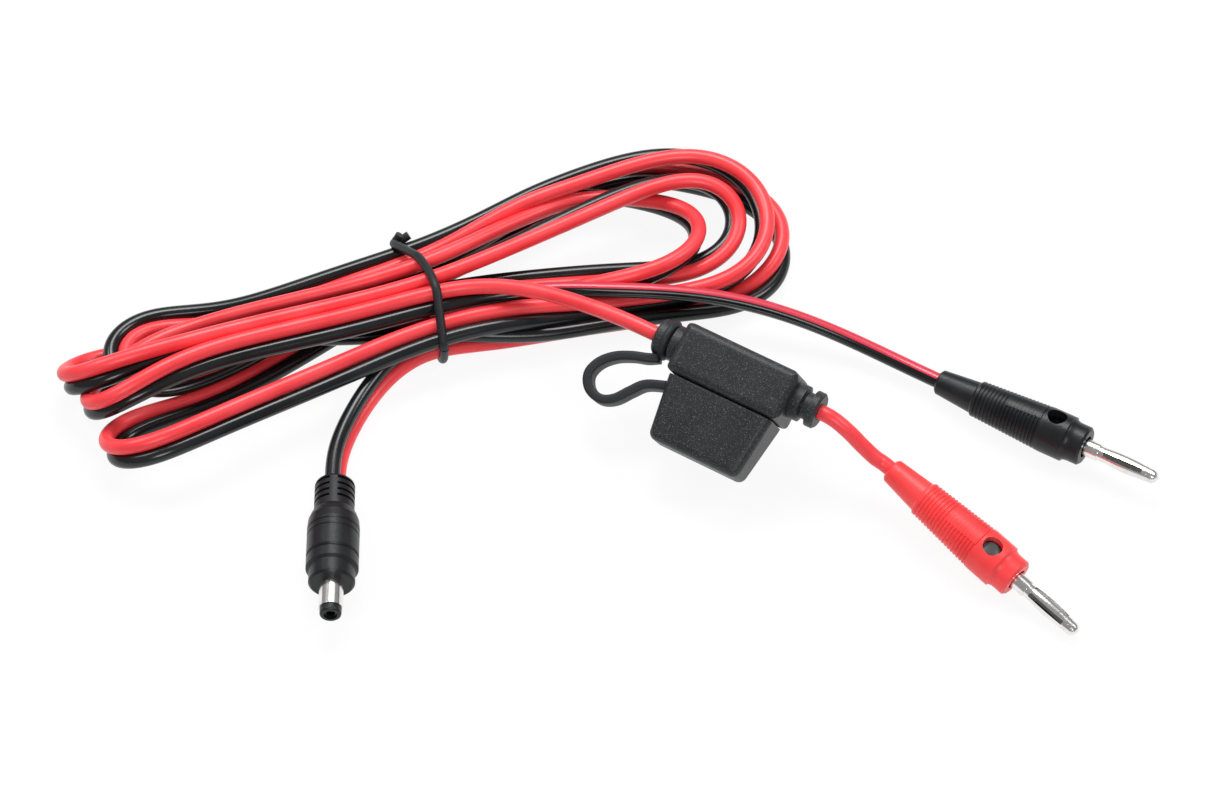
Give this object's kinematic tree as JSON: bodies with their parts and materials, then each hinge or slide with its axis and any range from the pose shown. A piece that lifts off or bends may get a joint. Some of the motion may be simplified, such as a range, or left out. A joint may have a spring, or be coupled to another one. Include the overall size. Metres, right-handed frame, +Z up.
{
  "type": "banana to dc power cable",
  "caption": "Red and black zip-cord power cable, tied in a hank, from a DC barrel plug to two stackable banana plugs, with a capped blade-fuse holder in the red lead.",
  "frame": {"origin": "on the surface that the cable lies on, below the middle of the box around its plugs and fuse holder", "axes": "+X from the DC plug's side to the banana plugs' side, +Y away from the side that the plugs point at, +Z up from the surface"},
  "size_m": [0.2531, 0.1296, 0.028],
  "materials": {
    "black_plug_plastic": "satin black moulded plastic of the DC plug and black shroud",
    "red_plug_plastic": "satin red moulded plastic",
    "holder_plastic": "grained matte black plastic",
    "tether_rubber": "soft black rubber",
    "nickel": "nickel plating",
    "brass": "bare brass",
    "fuse_plastic": "clear tinted plastic",
    "red_insulation": "soft red vinyl with a low gloss",
    "black_insulation": "soft black vinyl with a low gloss"
  },
  "bodies": {
    "cable": {"dc_handle": "black_plug_plastic", "dc_collar": "black_plug_plastic", "dc_barrel": "nickel", "dc_insulator": "black_plug_plastic", "dc_contact": "brass", "red_shroud": "red_plug_plastic", "red_pin": "nickel", "red_spring": "nickel", "red_screw": "nickel", "black_shroud": "black_plug_plastic", "black_pin": "nickel", "black_spring": "nickel", "black_screw": "nickel", "holder_body": "holder_plastic", "cap_tether": "tether_rubber", "fuse_case": "fuse_plastic", "fuse_blades": "nickel", "terminal_in": "brass", "terminal_out": "brass", "cable_hank": "red_insulation", "dc_lead": "red_insulation", "red_lead": "red_insulation", "red_plug_lead": "red_insulation", "black_lead": "black_insulation", "twist_tie": "black_insulation"},
    "cap": {"fuse_cap": "holder_plastic"}
  },
  "joints": [
    {"name": "cap_pull", "type": "slide", "parent": "cable", "child": "cap", "axis": [-0.4522, -0.7677, -0.454], "range_m": [0, 0.0128], "deforming": ["cap_tether"]}
  ]
}
